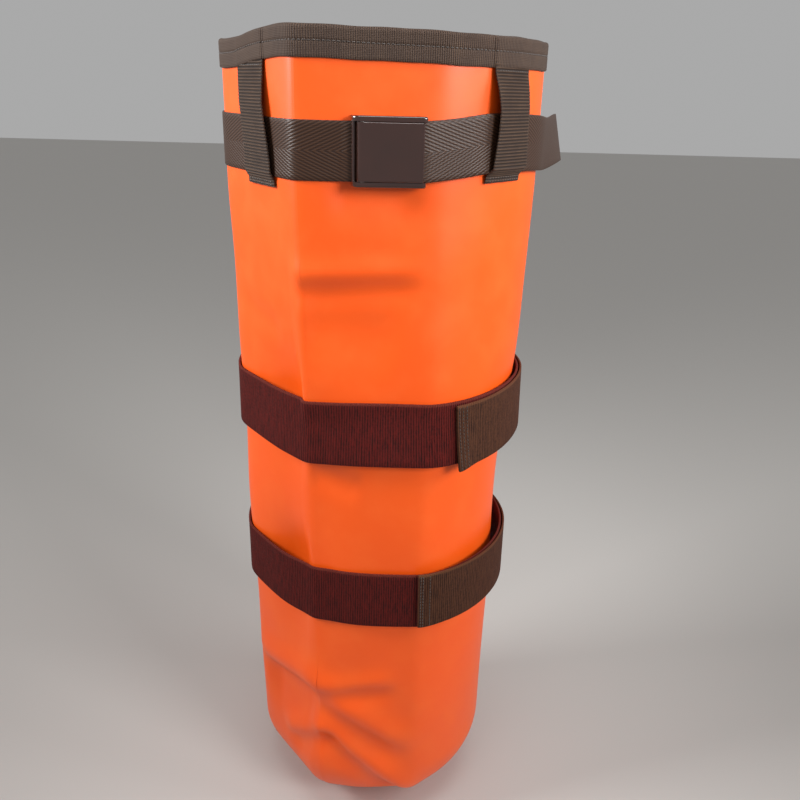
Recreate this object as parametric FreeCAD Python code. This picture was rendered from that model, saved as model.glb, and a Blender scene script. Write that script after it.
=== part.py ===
import FreeCAD, Part
import math
import os

# A tall soft sleeve bag: two coated-fabric panels, a webbing-bound rim, a belt with a flip-lever
# buckle held by three belt loops, and two elastic wrap straps with hook-and-loop tabs.
# Millimetres and degrees. The origin is the middle of the patch that the bag stands on, +Z is up
# and -Y is the front. Angles round the bag start at the front and grow towards +X.

os.makedirs("parts", exist_ok=True)
Vector = FreeCAD.Vector
up = Vector(0, 0, 1)
centre = Vector(0, 0, 0)

# Sleeve: its outline is a circle with two creases, each between two flatter facets.
total_height = 710
rim_radius = 125.5
wall = 1.2
front_crease = -25
back_crease = 155
fillet_share = 0.4

# How far a facet's normal turns from its crease, and its distance from the axis as a share of the
# circle's radius. The creases stand out more at the rim than further down.
rim_section = (28, 0.957)
neck_section = (27, 0.946)
body_section = (26, 0.935)
front_facet = front_crease + rim_section[0]
left_facet = front_crease - rim_section[0]
back_facet = back_crease + rim_section[0]
flat_distance = rim_section[1] * rim_radius
keeper_facet = back_crease + body_section[0]

# Rounded bottom: a flat patch that rests on the floor, and a round corner up to the wall.
base_flat_radius = 40
corner_radius = 72
corner_angles = (90, 75, 60, 45, 30, 15, 0)
corner_shift = (-2, -8)

# Height, radius, how far the section sags sideways (x, y) from the axis, and its facets.
body_stations = (
    (200, 113.4, -3, -8, body_section),
    (320, 115.4, -5, -6, body_section),
    (400, 118.0, -3, -4, body_section),
    (470, 122.4, -1, -2, body_section),
    (540, 124.4, 0, 0, neck_section),
    (600, 125.3, 0, 0, rim_section),
)
wall_top = total_height - 1.8
inside_top = wall_top + 5

# Rim binding: 40 mm webbing folded over the edge.
binding_height = 20
binding_thickness = 1.5
binding_clearance = 0.25
stitch_height = 0.8
stitch_rise = 0.35

# Belt, 38 mm webbing.
belt_width = 38
belt_low = 615
belt_high = belt_low + belt_width
webbing = 1.5
belt_gap = 0.35
belt_centre = belt_gap + webbing / 2
folded_end_centre = 2.7
tail_centre = 4.6
folded_end_angle = 50
tail_leave_angle = 75
tail_free_length = 100
layers_start_angle = 30

# Belt loops, 38 mm webbing.
loop_width = 38
loop_thickness = 1.5
loop_foot = 604.5
loop_foot_centre = 0.85
loop_over_belt = 2.95
loop_over_tail = 6.4
right_loop_angle = 46.5
left_loop_shift = 14
bartack = (32, 0.4, 2.5)

# Buckle, in its own frame: s runs along the front facet, n stands out from it.
buckle_low = 611
buckle_high = 657
buckle_left = -24
buckle_right = 27
side_wall = 3.6
side_play = 0.35
base_plate = (0.4, 1.6)
base_plate_end = 10
hinge_s = -16.5
hinge_n = 7.3
pin_radius = 1.5
pin_play = 0.08
cam_radius = 3.6
cam_lobe_radius = 3.2
cam_lobe_n = 6.9
lever_end = 25
lever_grip = 4
lever_under = 8.9
lever_face = 11.2
anchor_s = 21
anchor_n = 3.9
anchor_radius = 1.25
anchor_wrap = 2.25
run_centre = 2.4
left_bar_s = -22.2
left_bar_n = 5.3
left_bar_radius = 1.4

# Wrap straps, 50 mm elastic.
strap_width = 50
strap_thickness = 2.0
strap_play = 0.3
hook_thickness = 0.9
tab_thickness = 1.8
hook_length_angle = 34
strap_hinge_angle = 82
hinge_half_gap = 0.6
overlap_end_angle = 118
straps = (
    # name, lowest height, inner radius, shift of its centre, angle of the tab's free end
    ("mid", 397.5, 123.0, (0, -3), 31.0),
    ("lower", 242.0, 119.8, (-1.2, -4), 19.5),
)
keeper_width = 60
keeper_thickness = 1.0
keeper_foot = 12
keeper_clearance = 1.3

# Tape welded inside along the joint of the two panels.
tape_width = 20
tape_thickness = 0.8
tape_gap = 0.05
joint_beside_crease = 1.5
reach = 400


def direction(angle):
    turn = math.radians(angle)
    return Vector(math.sin(turn), -math.cos(turn), 0)


def along(angle):
    return direction(angle + 90)


def unit(vector):
    return vector * (1 / vector.Length)


def arc(start, middle, end):
    return Part.Arc(start, middle, end).toShape()


def outline(radius, offset, height, shift, section):
    """Closed wire of the bag's section, moved outwards by offset."""
    facet_turn, facet_share = section
    circle = radius + offset
    flat = facet_share * radius + offset
    fillet = fillet_share * radius + offset
    flat_reach = math.sqrt((circle - fillet) ** 2 - (flat - fillet) ** 2)
    place = Vector(shift[0], shift[1], height)
    edges = []
    for crease, next_crease in ((front_crease, back_crease), (back_crease, front_crease + 360)):
        normal_a = direction(crease + facet_turn)
        normal_b = direction(next_crease - facet_turn)
        along_a = along(crease + facet_turn)
        along_b = along(next_crease - facet_turn)
        corner = direction(crease) * (flat / math.cos(math.radians(facet_turn)))
        next_corner = direction(next_crease) * (flat / math.cos(math.radians(facet_turn)))
        middle = direction((crease + next_crease) / 2) * circle
        fillet_a = normal_a * (flat - fillet) + along_a * flat_reach
        fillet_b = normal_b * (flat - fillet) - along_b * flat_reach
        flat_end = normal_a * flat + along_a * flat_reach
        flat_start = normal_b * flat - along_b * flat_reach
        circle_start = unit(fillet_a) * circle
        circle_end = unit(fillet_b) * circle
        fillet_a_middle = fillet_a + unit(normal_a + unit(fillet_a)) * fillet
        fillet_b_middle = fillet_b + unit(normal_b + unit(fillet_b)) * fillet
        edges += [
            Part.makeLine(corner + place, flat_end + place),
            arc(flat_end + place, fillet_a_middle + place, circle_start + place),
            arc(circle_start + place, middle + place, circle_end + place),
            arc(circle_end + place, fillet_b_middle + place, flat_start + place),
            Part.makeLine(flat_start + place, next_corner + place),
        ]
    return Part.Wire(edges)


def sleeve_form(inset, top):
    """Solid inside of the sleeve's surface, moved inwards by inset."""
    corner = corner_radius - inset
    wires = []
    for angle in corner_angles:
        turn = math.radians(angle)
        radius = base_flat_radius + corner * math.cos(turn)
        height = corner_radius - corner * math.sin(turn)
        wires.append(outline(radius, 0, height, corner_shift, body_section))
    for height, radius, side, forward, section in body_stations:
        wires.append(outline(radius - inset, 0, height, (side, forward), section))
    wires.append(outline(rim_radius - inset, 0, top, (0, 0), rim_section))
    return Part.makeLoft(wires, True, True)


def beside_joint(width_left, width_right, low, high):
    """Box along the joint's plane, reaching width_left and width_right from the crease's plane."""
    box = Part.makeBox(width_left + width_right, 2 * reach, high - low, Vector(-width_left, -reach, low))
    box.rotate(centre, up, front_crease)
    return box


def band(radius, inner, outer, low, high, shift=(0, 0), section=rim_section):
    """Upright ring that follows the bag's section between two offsets."""
    tall = Vector(0, 0, high - low)
    outside = Part.Face(outline(radius, outer, low, shift, section)).extrude(tall)
    inside = Part.Face(outline(radius, inner, low, shift, section)).extrude(tall)
    return outside.cut(inside)


def sector(radius, inner, outer, low, high, start, end, shift=(0, 0), section=rim_section):
    """Stretch of a band between two angles."""
    place = Vector(shift[0], shift[1], low)
    middle = (start + end) / 2
    corners = [place, place + direction(start) * reach, place + direction(middle) * reach]
    corners += [place + direction(end) * reach, place]
    wedge = Part.Face(Part.makePolygon(corners)).extrude(Vector(0, 0, high - low))
    return band(radius, inner, outer, low, high, shift, section).common(wedge)


def strip(points, thickness, sweep):
    """Flat webbing that follows points on a plane, swept sideways by its width."""
    sideways = unit(sweep)
    pieces = []
    for start, end in zip(points, points[1:]):
        half = sideways.cross(unit(end - start)) * (thickness / 2)
        corners = [start + half, end + half, end - half, start - half, start + half]
        pieces.append(Part.Face(Part.makePolygon(corners)).extrude(sweep))
    for point in points[1:-1]:
        pieces.append(Part.makeCylinder(thickness / 2, sweep.Length, point, sideways))
    return pieces[0].multiFuse(pieces[1:]).removeSplitter()


def on_front(s, n, height=0):
    """Point of the front facet at belt height: s along it, n out of it."""
    return direction(front_facet) * (flat_distance + n) + along(front_facet) * s + Vector(0, 0, height)


def on_circle(angle, offset, height=0):
    return direction(angle) * (rim_radius + offset) + Vector(0, 0, height)


def sleeve_section(height):
    """Radius and shift of the sleeve at a height, between the stations."""
    for lower, upper in zip(body_stations, body_stations[1:]):
        if lower[0] <= height <= upper[0]:
            share = (height - lower[0]) / (upper[0] - lower[0])
            return [a + (b - a) * share for a, b in zip(lower[1:4], upper[1:4])]
    raise ValueError("height outside the stations")


def panels():
    outside = sleeve_form(0, wall_top)
    shell = outside.cut(sleeve_form(wall, inside_top))
    right = beside_joint(-joint_beside_crease, reach, -10, total_height + 10)
    left = beside_joint(reach, joint_beside_crease, -10, total_height + 10)
    return shell.common(right), shell.common(left)


def inner_seam_tape():
    outer = wall + tape_gap
    ring = sleeve_form(outer, inside_top).cut(sleeve_form(outer + tape_thickness, inside_top + 5))
    half = tape_width / 2
    return ring.common(beside_joint(half, half, -10, total_height - binding_height - 1))


def rim_binding():
    low = total_height - binding_height
    outer_leg = binding_clearance + binding_thickness
    inner_leg = -wall - binding_clearance - binding_thickness
    block = band(rim_radius, inner_leg, outer_leg, low, total_height)
    slot = band(rim_radius, -wall - binding_clearance, binding_clearance, low - 1, wall_top + 0.1)
    return block.cut(slot)


def rim_binding_stitches():
    low = total_height - binding_height / 2 - stitch_height / 2
    outer = binding_clearance + binding_thickness
    inner = -wall - binding_clearance - binding_thickness
    rows = [
        band(rim_radius, outer, outer + stitch_rise, low, low + stitch_height),
        band(rim_radius, inner - stitch_rise, inner, low, low + stitch_height),
    ]
    return Part.makeCompound(rows)


def belt_loop(distance, side_shift, normal, over):
    """Loop from under the binding, out over the belt and back to its sewn foot."""
    top = total_height - binding_height
    profile = (
        (loop_foot_centre, top),
        (loop_foot_centre, top - 12),
        (over, belt_high + 3),
        (over, belt_low - 1.5),
        (loop_foot_centre, belt_low - 5.5),
        (loop_foot_centre, loop_foot),
    )
    left = side_shift - loop_width / 2
    points = [Vector(left, -(distance + out), height) for out, height in profile]
    loop = strip(points, loop_thickness, Vector(loop_width, 0, 0))
    loop.rotate(centre, up, normal)
    return loop


def bartacks(distance, side_shift, normal):
    """The sewn rows at a loop's foot and under the binding."""
    length, rise, tall = bartack
    surface = distance + loop_foot_centre + loop_thickness / 2
    rows = []
    for height in (loop_foot + 1.2, total_height - binding_height - 5):
        corner = Vector(side_shift - length / 2, -surface - rise, height)
        row = Part.makeBox(length, rise, tall, corner)
        row.rotate(centre, up, normal)
        rows.append(row)
    return rows


def belt_webbing():
    """The belt from its folded end on the anchor bar, round the bag and into the buckle."""
    tall = Vector(0, 0, belt_width)
    ring = band(rim_radius, belt_gap, belt_gap + webbing, belt_low, belt_high)
    window_left = buckle_left - 6.5
    window_corner = Vector(window_left, -160, belt_low - 1)
    window = Part.makeBox(buckle_right - window_left, 60, belt_width + 2, window_corner)
    window.rotate(centre, up, front_facet)
    entry = [(window_left - 0.2, belt_centre), (buckle_left - 1.5, run_centre), (lever_grip, run_centre)]
    around = [(buckle_right + 0.2, belt_centre), (anchor_s, anchor_n - anchor_wrap)]
    for turn in (-135, 180, 135, 90):
        s = anchor_s + anchor_wrap * math.cos(math.radians(turn))
        n = anchor_n + anchor_wrap * math.sin(math.radians(turn))
        around.append((s, n))
    into_buckle = strip([on_front(s, n, belt_low) for s, n in entry], webbing, tall)
    fold_points = [on_front(s, n, belt_low) for s, n in around]
    fold_points.append(on_front(anchor_s + 7, 4.1, belt_low))
    fold_points.append(on_circle(layers_start_angle + 0.1, folded_end_centre, belt_low))
    fold = strip(fold_points, webbing, tall)
    inner = folded_end_centre - webbing / 2
    outer = inner + webbing
    folded = sector(rim_radius, inner, outer, belt_low, belt_high, layers_start_angle, folded_end_angle)
    return ring.cut(window).multiFuse([into_buckle, fold, folded]).removeSplitter()


def belt_tail():
    """The free end: out from under the lever, under the right loop and off the bag in a straight line."""
    tall = Vector(0, 0, belt_width)
    over_anchor = anchor_n + anchor_wrap + webbing + 0.15
    run = [(lever_grip, run_centre), (lever_grip + 2, run_centre), (anchor_s - 7.5, 6.9)]
    run += [(anchor_s, over_anchor), (anchor_s + 7, 6.1)]
    points = [on_front(s, n, belt_low) for s, n in run]
    points.append(on_circle(layers_start_angle + 0.1, tail_centre, belt_low))
    inner = tail_centre - webbing / 2
    outer = inner + webbing
    curved = sector(rim_radius, inner, outer, belt_low, belt_high, layers_start_angle, tail_leave_angle)
    leave = on_circle(tail_leave_angle - 0.1, tail_centre, belt_low)
    free = strip([leave, leave + along(tail_leave_angle) * tail_free_length], webbing, tall)
    return strip(points, webbing, tall).multiFuse([curved, free]).removeSplitter()


def belt_end_stitches():
    """Rows of thread that close the belt's folded end."""
    surface = folded_end_centre + webbing / 2
    rows = []
    for low in (belt_low + 4, belt_high - 5):
        rows.append(sector(rim_radius, surface, surface + 0.3, low, low + 1, 32, 48))
    for start in (32.6, 47):
        low, high = belt_low + 6, belt_high - 6
        rows.append(sector(rim_radius, surface, surface + 0.3, low, high, start, start + 0.5))
    return Part.makeCompound(rows)


def in_buckle(s, n, height):
    return Vector(s, -(flat_distance + n), height)


def buckle_rod(s, n, radius, low, high):
    return Part.makeCylinder(radius, high - low, in_buckle(s, n, low), up)


def buckle_side(low, edge_height):
    """One side wall, with a rounded outer edge."""
    face = lever_face - 0.7
    start = in_buckle(buckle_left, base_plate[0], low)
    rise = in_buckle(buckle_left, 5.2, low)
    shoulder = in_buckle(hinge_s - 1, face, low)
    far = in_buckle(buckle_right - 3, face - 1, low)
    tip = in_buckle(buckle_right, face - 4, low)
    end = in_buckle(buckle_right, base_plate[0], low)
    over_left = in_buckle(buckle_left + 2, 8.9, low)
    over_right = in_buckle(buckle_right - 0.8, face - 1.9, low)
    wire = Part.Wire([
        Part.makeLine(start, rise),
        arc(rise, over_left, shoulder),
        Part.makeLine(shoulder, far),
        arc(far, over_right, tip),
        Part.makeLine(tip, end),
        Part.makeLine(end, start),
    ])
    side = Part.Face(wire).extrude(Vector(0, 0, side_wall))
    outer_edges = []
    for edge in side.Edges:
        middle = edge.CenterOfMass
        on_edge_plane = abs(middle.z - edge_height) < 0.01
        if on_edge_plane and -middle.y > flat_distance + base_plate[0] + 1:
            outer_edges.append(edge)
    return side.makeFillet(1.4, outer_edges)


def buckle_frame():
    plate_thickness = base_plate[1] - base_plate[0]
    corner = in_buckle(buckle_left, base_plate[1], buckle_low)
    plate = Part.makeBox(base_plate_end - buckle_left, plate_thickness, buckle_high - buckle_low, corner)
    lower_side = buckle_side(buckle_low, buckle_low)
    upper_side = buckle_side(buckle_high - side_wall, buckle_high)
    inside = side_wall - 0.5
    bar = buckle_rod(left_bar_s, left_bar_n, left_bar_radius, buckle_low + inside, buckle_high - inside)
    frame = plate.multiFuse([lower_side, upper_side, bar]).removeSplitter()
    pin_hole = buckle_rod(hinge_s, hinge_n, pin_radius, buckle_low - 1, buckle_high + 1)
    anchor_hole = buckle_rod(anchor_s, anchor_n, anchor_radius, buckle_low - 1, buckle_high + 1)
    frame = frame.cut(pin_hole).cut(anchor_hole)
    frame.rotate(centre, up, front_facet)
    return frame


def buckle_lever():
    low = buckle_low + side_wall + side_play
    tall = buckle_high - side_wall - side_play - low
    back = in_buckle(hinge_s, hinge_n + cam_radius, low)
    crown = in_buckle(9, lever_face + 0.4, low)
    front_edge = in_buckle(lever_end - 1.5, lever_face - 0.5, low)
    nose = in_buckle(lever_end, lever_face - 1.4, low)
    under_edge = in_buckle(lever_end - 0.7, lever_under, low)
    under_back = in_buckle(hinge_s, lever_under, low)
    wire = Part.Wire([
        arc(back, crown, front_edge),
        arc(front_edge, nose, under_edge),
        Part.makeLine(under_edge, under_back),
        Part.makeLine(under_back, back),
    ])
    plate = Part.Face(wire).extrude(Vector(0, 0, tall))
    face_edges = []
    for edge in plate.Edges:
        middle = edge.CenterOfMass
        on_end = abs(middle.z - low) < 0.01 or abs(middle.z - low - tall) < 0.01
        if on_end and -middle.y > flat_distance + lever_under + 1.5:
            face_edges.append(edge)
    plate = plate.makeFillet(0.9, face_edges)
    cam = buckle_rod(hinge_s, hinge_n, cam_radius, low, low + tall)
    lobe = buckle_rod(hinge_s + 0.3, cam_lobe_n, cam_lobe_radius, low, low + tall)
    lever = plate.multiFuse([cam, lobe]).removeSplitter()
    lever = lever.cut(buckle_rod(hinge_s, hinge_n, pin_radius + pin_play, low - 1, low + tall + 1))
    lever.rotate(centre, up, front_facet)
    return lever


def buckle_rod_node(s, n, radius):
    rod = buckle_rod(s, n, radius, buckle_low + 0.2, buckle_high - 0.2)
    rod.rotate(centre, up, front_facet)
    return rod


def wrap_strap(low, radius, shift):
    """The elastic ring, with the start of the overlapping layer on its right side."""
    high = low + strap_width
    ring = band(radius, 0, strap_thickness, low, high, shift, body_section)
    outer = strap_thickness + strap_play + hook_thickness + tab_thickness
    start = strap_hinge_angle + hinge_half_gap
    inner = strap_thickness - 0.5
    layer = sector(radius, inner, outer, low, high, start, overlap_end_angle, shift, body_section)
    return ring.fuse(layer).removeSplitter()


def strap_tab(low, radius, shift, free_end):
    inner = strap_thickness + strap_play + hook_thickness
    end = strap_hinge_angle - hinge_half_gap
    high = low + strap_width
    return sector(radius, inner, inner + tab_thickness, low, high, free_end, end, shift, body_section)


def hook_patch(low, radius, shift, free_end):
    inner = strap_thickness + strap_play
    high = low + strap_width - 2
    end = free_end + hook_length_angle
    outer = inner + hook_thickness
    return sector(radius, inner, outer, low + 2, high, free_end + 0.6, end, shift, body_section)


def tab_stitches(low, radius, shift, free_end):
    """Two upright rows of thread along the tab's hem."""
    surface = strap_thickness + strap_play + hook_thickness + tab_thickness
    high = low + strap_width - 1.5
    rows = []
    for start in (free_end + 0.8, free_end + 2.4):
        outer = surface + stitch_rise
        end = start + 0.4
        rows.append(sector(radius, surface, outer, low + 1.5, high, start, end, shift, body_section))
    return Part.makeCompound(rows)


def strap_keeper(low, radius, shift):
    """Coated-fabric patch at the back, welded to the sleeve above and below the strap."""
    normal = direction(keeper_facet)
    high = low + strap_width
    strap_back = body_section[1] * radius + strap_thickness + Vector(shift[0], shift[1], 0).dot(normal)
    over = strap_back + strap_play + keeper_thickness / 2
    profile = []
    for height in (high + 6 + keeper_foot, high + 6):
        profile.append((sleeve_back(height, normal), height))
    profile += [(over, high + 0.5), (over, low - 0.5)]
    for height in (low - 6, low - 6 - keeper_foot):
        profile.append((sleeve_back(height, normal), height))
    points = [Vector(-keeper_width / 2, -out, height) for out, height in profile]
    patch = strip(points, keeper_thickness, Vector(keeper_width, 0, 0))
    patch.rotate(centre, up, keeper_facet)
    return patch


def sleeve_back(height, normal):
    radius, side, forward = sleeve_section(height)
    return body_section[1] * radius + Vector(side, forward, 0).dot(normal) + keeper_clearance


front_panel, rear_panel = panels()
loops = {
    "belt_loop_left": (flat_distance, left_loop_shift, left_facet, loop_over_belt),
    "belt_loop_right": (rim_radius, 0, right_loop_angle, loop_over_tail),
    "belt_loop_back": (flat_distance, 0, back_facet, loop_over_belt),
}
tacks = []
for distance, side_shift, normal, over in loops.values():
    tacks += bartacks(distance, side_shift, normal)

nodes = {
    "front_panel": front_panel,
    "rear_panel": rear_panel,
    "inner_seam_tape": inner_seam_tape(),
    "rim_binding": rim_binding(),
    "rim_binding_stitches": rim_binding_stitches(),
    "belt_loop_bartacks": Part.makeCompound(tacks),
    "belt_webbing": belt_webbing(),
    "belt_tail": belt_tail(),
    "belt_end_stitches": belt_end_stitches(),
    "buckle_frame": buckle_frame(),
    "buckle_lever": buckle_lever(),
    "buckle_hinge_pin": buckle_rod_node(hinge_s, hinge_n, pin_radius),
    "buckle_anchor_bar": buckle_rod_node(anchor_s, anchor_n, anchor_radius),
}
for name, settings in loops.items():
    nodes[name] = belt_loop(*settings)
for name, low, radius, shift, free_end in straps:
    nodes[name + "_strap"] = wrap_strap(low, radius, shift)
    nodes[name + "_strap_tab"] = strap_tab(low, radius, shift, free_end)
    nodes[name + "_hook_patch"] = hook_patch(low, radius, shift, free_end)
    nodes[name + "_tab_stitches"] = tab_stitches(low, radius, shift, free_end)
    nodes[name + "_strap_keeper"] = strap_keeper(low, radius, shift)

for name, shape in nodes.items():
    box = shape.BoundBox
    extents = ((box.XMin, box.XMax), (box.YMin, box.YMax), (box.ZMin, box.ZMax))
    places = ", ".join(f"{low:.1f}..{high:.1f}" for low, high in extents)
    print(f"{name}: {len(shape.Solids)} solids, {shape.Volume / 1000:.2f} cm3, valid {shape.isValid()}, {places}")
    shape.exportStep(f"parts/{name}.step")
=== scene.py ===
import math
import bmesh
import bpy
import numpy as np
from mathutils import Matrix, Vector


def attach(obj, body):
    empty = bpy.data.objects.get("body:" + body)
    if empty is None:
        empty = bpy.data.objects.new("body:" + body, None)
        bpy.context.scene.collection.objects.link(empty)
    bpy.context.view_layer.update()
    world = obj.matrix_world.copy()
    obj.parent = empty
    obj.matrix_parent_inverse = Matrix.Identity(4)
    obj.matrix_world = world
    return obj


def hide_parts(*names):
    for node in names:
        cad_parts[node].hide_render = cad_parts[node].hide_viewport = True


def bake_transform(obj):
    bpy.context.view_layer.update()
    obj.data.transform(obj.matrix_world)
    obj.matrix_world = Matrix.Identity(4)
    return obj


# A tall soft sleeve bag of coated fabric: bound rim, belt with a flip-lever buckle in three loops,
# and two elastic wrap straps with hook-and-loop tabs.
# Settings are in millimetres and degrees. Angles start at the front (-Y) and grow towards +X.

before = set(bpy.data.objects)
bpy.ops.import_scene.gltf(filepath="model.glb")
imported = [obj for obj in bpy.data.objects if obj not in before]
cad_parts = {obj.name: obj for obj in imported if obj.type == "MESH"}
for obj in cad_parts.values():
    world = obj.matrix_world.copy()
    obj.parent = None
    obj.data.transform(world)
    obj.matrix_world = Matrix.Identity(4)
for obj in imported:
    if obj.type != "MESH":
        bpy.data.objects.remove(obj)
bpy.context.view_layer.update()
mm = 0.001
print("frame loaded:", len(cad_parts), "nodes")


def linearColour(hexText):
    # sRGB hex to linear, by the sRGB curve
    share = np.array([int(hexText[i:i + 2], 16) for i in (1, 3, 5)]) / 255
    linear = np.where(share <= 0.04045, share / 12.92, ((share + 0.055) / 1.055) ** 2.4)
    return (*linear, 1.0)


def addNode(tree, kind, inputs=None, **settings):
    node = tree.nodes.new("ShaderNode" + kind)
    for name, value in settings.items():
        setattr(node, name, value)
    for name, value in (inputs or {}).items():
        if isinstance(value, bpy.types.NodeSocket):
            tree.links.new(value, node.inputs[name])
        else:
            node.inputs[name].default_value = value
    return node


def startMaterial(name, **sockets):
    material = bpy.data.materials.new(name)
    material.use_nodes = True
    shader = material.node_tree.nodes["Principled BSDF"]
    for socket, value in sockets.items():
        shader.inputs[socket.replace("_", " ")].default_value = value
    return material, material.node_tree, shader


def combine(tree, operation, first, second, third=None):
    # one arithmetic step between sockets or numbers; returns the result's socket
    inputs = {0: first, 1: second}
    if third is not None:
        inputs[2] = third
    return addNode(tree, "Math", inputs, operation=operation).outputs[0]


def blendColours(tree, share, low, high):
    # colour between two, by a share from 0 to 1; a colour is hex text or another node's socket
    node = addNode(tree, "Mix", {"Factor": share}, data_type="RGBA")
    # inputs 6 and 7 are the node's two colours, and output 2 is its colour
    for end, colour in ((6, low), (7, high)):
        if isinstance(colour, str):
            node.inputs[end].default_value = linearColour(colour)
        else:
            tree.links.new(colour, node.inputs[end])
    return node.outputs[2]


def paint(tree, shader, share, low, high):
    tree.links.new(blendColours(tree, share, low, high), shader.inputs["Base Color"])


def noise(tree, place, scale, detail):
    return addNode(tree, "TexNoise", {"Vector": place, "Scale": scale, "Detail": detail}).outputs["Fac"]


def objectPlace(tree):
    return addNode(tree, "TexCoord").outputs["Object"]


def addBump(tree, shader, height, strength, depth):
    # depth in millimetres between the lowest and the highest of the pattern
    bump = addNode(tree, "Bump", {"Height": height, "Strength": strength, "Distance": depth * mm})
    tree.links.new(bump.outputs["Normal"], shader.inputs["Normal"])


def stripPlace(tree):
    # distance along and across a strip, in metres, from its UV map
    uv = addNode(tree, "UVMap", uv_map="UVMap")
    split = addNode(tree, "SeparateXYZ", {"Vector": uv.outputs["UV"]})
    return uv.outputs["UV"], split.outputs["X"], split.outputs["Y"]


def ribWave(tree, place, spacing):
    # smooth ribs from 0 to 1, a spacing in millimetres apart: half of 1 + sin(2 pi place / spacing)
    turn = combine(tree, "MULTIPLY", place, 2 * math.pi / (spacing * mm))
    wave = combine(tree, "SINE", turn, 0.0)
    return combine(tree, "MULTIPLY_ADD", wave, 0.5, 0.5)


def smoothCurve(x, table, column=1):
    # cubic through a table's rows, from their first value to another, with slopes taken from the neighbours
    table = np.asarray(table, float)
    xs = table[:, 0]
    ys = table[:, column]
    slopes = np.gradient(ys, xs)
    i = np.clip(np.searchsorted(xs, x) - 1, 0, len(xs) - 2)
    step = xs[i + 1] - xs[i]
    t = np.clip((x - xs[i]) / step, 0, 1)
    start = (2 * t ** 3 - 3 * t ** 2 + 1) * ys[i] + (t ** 3 - 2 * t ** 2 + t) * step * slopes[i]
    end = (3 * t ** 2 - 2 * t ** 3) * ys[i + 1] + (t ** 3 - t ** 2) * step * slopes[i + 1]
    return start + end


def smoothStep(x, low, high):
    t = np.clip((x - low) / (high - low), 0, 1)
    return t * t * (3 - 2 * t)


def bell(x, middle, width):
    return np.exp(-((x - middle) / width) ** 2)


def unit(vectors):
    return vectors / np.maximum(np.linalg.norm(vectors, axis=-1, keepdims=True), 1e-12)


def lengthAlong(points):
    # distance travelled along a line of points, zero at its start
    steps = np.linalg.norm(np.diff(points, axis=0), axis=-1)
    return np.concatenate([[0], np.cumsum(steps)])


def valuesAt(wanted, travelled, values):
    # rows of values read off at wanted distances along a line
    return np.stack([np.interp(wanted, travelled, column) for column in values.T], axis=-1)


def evenly(points, spacing):
    # the same line with points a fixed distance apart
    points = np.asarray(points, float)
    travelled = lengthAlong(points)
    count = max(2, int(round(travelled[-1] / spacing)) + 1)
    return valuesAt(np.linspace(0, travelled[-1], count), travelled, points)


def softened(points, passes):
    # each inner point moves to the average of itself and its neighbours
    points = points.copy()
    for _ in range(passes):
        points[1:-1] = points[1:-1] / 2 + (points[:-2] + points[2:]) / 4
    return points


def pairs(first, second):
    return np.stack(np.broadcast_arrays(first, second), axis=-1)


def outward(angle):
    turn = np.radians(angle)
    return pairs(np.sin(turn), -np.cos(turn))


def sideways(angle):
    return outward(np.asarray(angle) + 90.0)


def angleOf(plan):
    return np.degrees(np.arctan2(plan[..., 0], -plan[..., 1]))


def withinHalfTurn(angle):
    # the same direction, as an angle from -180 to 180
    return (np.asarray(angle) + 180) % 360 - 180


def standing(plan, height):
    # plan points and their heights as points in space
    plan, height = np.broadcast_arrays(plan, np.asarray(height, float)[..., None])
    return np.concatenate([plan, height[..., :1]], axis=-1)


def addObject(name, data):
    thing = bpy.data.objects.new(name, data)
    bpy.context.collection.objects.link(thing)
    return thing


def meshPiece(name, points, uv, closedRows=False, merged=False):
    # rows x columns of points in millimetres joined as quads, with the columns running once round the
    # piece's section; uv has one more column, and one more row where the rows are closed
    rows, columns = points.shape[:2]
    index = np.arange(rows * columns).reshape(rows, columns)
    if closedRows:
        index = np.vstack([index, index[:1]])
    index = np.hstack([index, index[:, :1]])
    lastRow, lastColumn = index.shape[0] - 1, index.shape[1] - 1
    corners = ((0, 0), (0, 1), (1, 1), (1, 0))
    faces = np.stack([index[r:lastRow + r, c:lastColumn + c] for r, c in corners], axis=-1).reshape(-1, 4)
    faceUv = np.stack([uv[r:lastRow + r, c:lastColumn + c] for r, c in corners], axis=-2).reshape(-1, 4, 2)
    if not closedRows:
        # each end is a row of quads between the section's two sides
        j = np.arange(columns // 2 - 1)
        for row, order in ((0, (0, 3, 2, 1)), (rows - 1, (0, 1, 2, 3))):
            cap = np.stack([j, j + 1, columns - 2 - j, columns - 1 - j], axis=-1)[:, order]
            faces = np.vstack([faces, index[row][cap]])
            faceUv = np.vstack([faceUv, uv[row][cap]])
    flat = points.reshape(-1, 3)
    a, b, c, d = (flat[faces[:, k]] for k in range(4))
    volume = np.sum(a * (np.cross(b, c) + np.cross(c, d)))
    if volume < 0:
        faces = faces[:, ::-1]
        faceUv = faceUv[:, ::-1]
    mesh = bpy.data.meshes.new(name)
    mesh.from_pydata((flat * mm).tolist(), [], faces.tolist())
    layer = mesh.uv_layers.new(name="UVMap")
    layer.data.foreach_set("uv", (faceUv * mm).ravel())
    if merged:
        working = bmesh.new()
        working.from_mesh(mesh)
        bmesh.ops.remove_doubles(working, verts=working.verts, dist=1e-6)
        working.to_mesh(mesh)
        working.free()
    mesh.shade_smooth()
    # the cut edges stay sharp, so that the faces beside them shade true
    mesh.set_sharp_from_angle(angle=math.radians(52))
    return addObject(name, mesh)


def surfaceNormals(surface, closed=False):
    # rows run along a piece and columns across it, so along x across points outwards
    if closed:
        longer = np.concatenate([surface[-1:], surface, surface[:1]])
        alongRows = longer[2:] - longer[:-2]
    else:
        alongRows = np.gradient(surface, axis=0)
    normals = np.cross(alongRows, np.gradient(surface, axis=1))
    empty = np.linalg.norm(normals[:, 0], axis=-1) < 1e-6
    normals[empty, 0] = normals[empty, 1]
    return unit(normals)


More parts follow.
